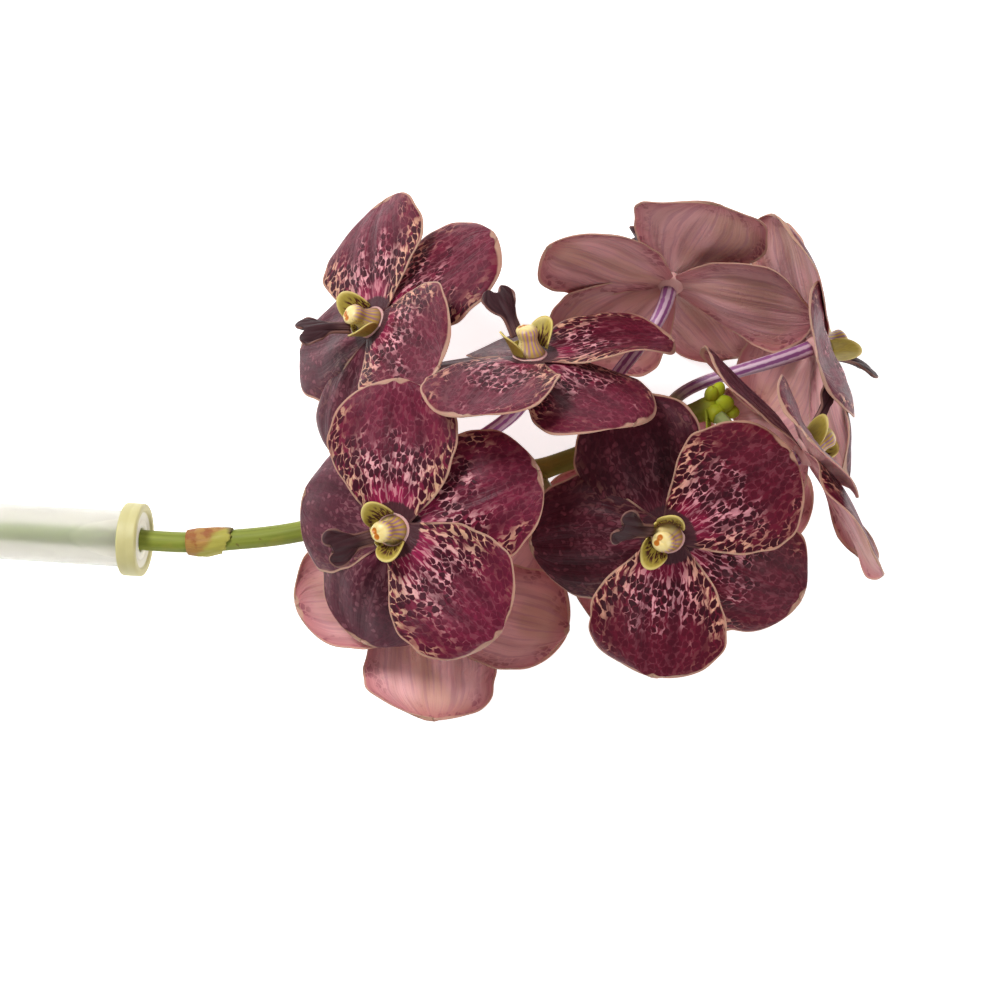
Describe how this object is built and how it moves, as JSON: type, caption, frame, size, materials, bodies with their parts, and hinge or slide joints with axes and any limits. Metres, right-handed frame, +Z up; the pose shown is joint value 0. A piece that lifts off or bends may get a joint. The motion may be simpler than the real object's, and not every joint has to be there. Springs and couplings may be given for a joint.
{
  "type": "cut vanda orchid",
  "caption": "Cut vanda orchid stem lying down, with broad netted burgundy blooms on short pedicels and its foot in a capped water tube.",
  "frame": {"origin": "middle of the whole stem's box, on the surface that it lies on", "axes": "+X along the stem from the water tube to the tip, +Z up from the surface"},
  "size_m": [0.3074, 0.1634, 0.1148],
  "materials": {
    "stem_green": "fresh green stem, smooth, satin",
    "sheath_brown": "dry papery sheath, matte, brown and straw",
    "tube_frosted": "thin clear plastic, slightly frosted",
    "cap_rubber": "soft moulded rubber, olive cream, satin",
    "water_clear": "clear water",
    "tepal_burgundy": "waxy tepal, burgundy cells on a pink net, cream margin, tan back",
    "column_cream": "waxy cream column with orange pits",
    "side_lobes_yellow": "waxy yellow lobes with dark red streaks",
    "lip_purple": "fleshy dark purple lip with ridges",
    "pedicel_lilac": "ridged lilac pedicel with purple stripes, green at its foot"
  },
  "bodies": {
    "root": {"stem": "stem_green", "stem_sheath": "sheath_brown", "water_tube": "tube_frosted", "tube_cap": "cap_rubber", "water": "water_clear", "bloom_1_tepals": "tepal_burgundy", "bloom_1_column": "column_cream", "bloom_1_side_lobes": "side_lobes_yellow", "bloom_1_lip": "lip_purple", "bloom_1_pedicel": "pedicel_lilac", "bloom_2_tepals": "tepal_burgundy", "bloom_2_column": "column_cream", "bloom_2_side_lobes": "side_lobes_yellow", "bloom_2_lip": "lip_purple", "bloom_2_pedicel": "pedicel_lilac", "bloom_3_tepals": "tepal_burgundy", "bloom_3_column": "column_cream", "bloom_3_side_lobes": "side_lobes_yellow", "bloom_3_lip": "lip_purple", "bloom_3_pedicel": "pedicel_lilac", "bloom_4_tepals": "tepal_burgundy", "bloom_4_column": "column_cream", "bloom_4_side_lobes": "side_lobes_yellow", "bloom_4_lip": "lip_purple", "bloom_4_pedicel": "pedicel_lilac", "bloom_5_tepals": "tepal_burgundy", "bloom_5_column": "column_cream", "bloom_5_side_lobes": "side_lobes_yellow", "bloom_5_lip": "lip_purple", "bloom_5_pedicel": "pedicel_lilac", "bloom_6_tepals": "tepal_burgundy", "bloom_6_column": "column_cream", "bloom_6_side_lobes": "side_lobes_yellow", "bloom_6_lip": "lip_purple", "bloom_6_pedicel": "pedicel_lilac", "bloom_7_tepals": "tepal_burgundy", "bloom_7_column": "column_cream", "bloom_7_side_lobes": "side_lobes_yellow", "bloom_7_lip": "lip_purple", "bloom_7_pedicel": "pedicel_lilac", "bloom_8_tepals": "tepal_burgundy", "bloom_8_column": "column_cream", "bloom_8_side_lobes": "side_lobes_yellow", "bloom_8_lip": "lip_purple", "bloom_8_pedicel": "pedicel_lilac", "bloom_9_tepals": "tepal_burgundy", "bloom_9_column": "column_cream", "bloom_9_side_lobes": "side_lobes_yellow", "bloom_9_lip": "lip_purple", "bloom_9_pedicel": "pedicel_lilac"}
  },
  "joints": []
}
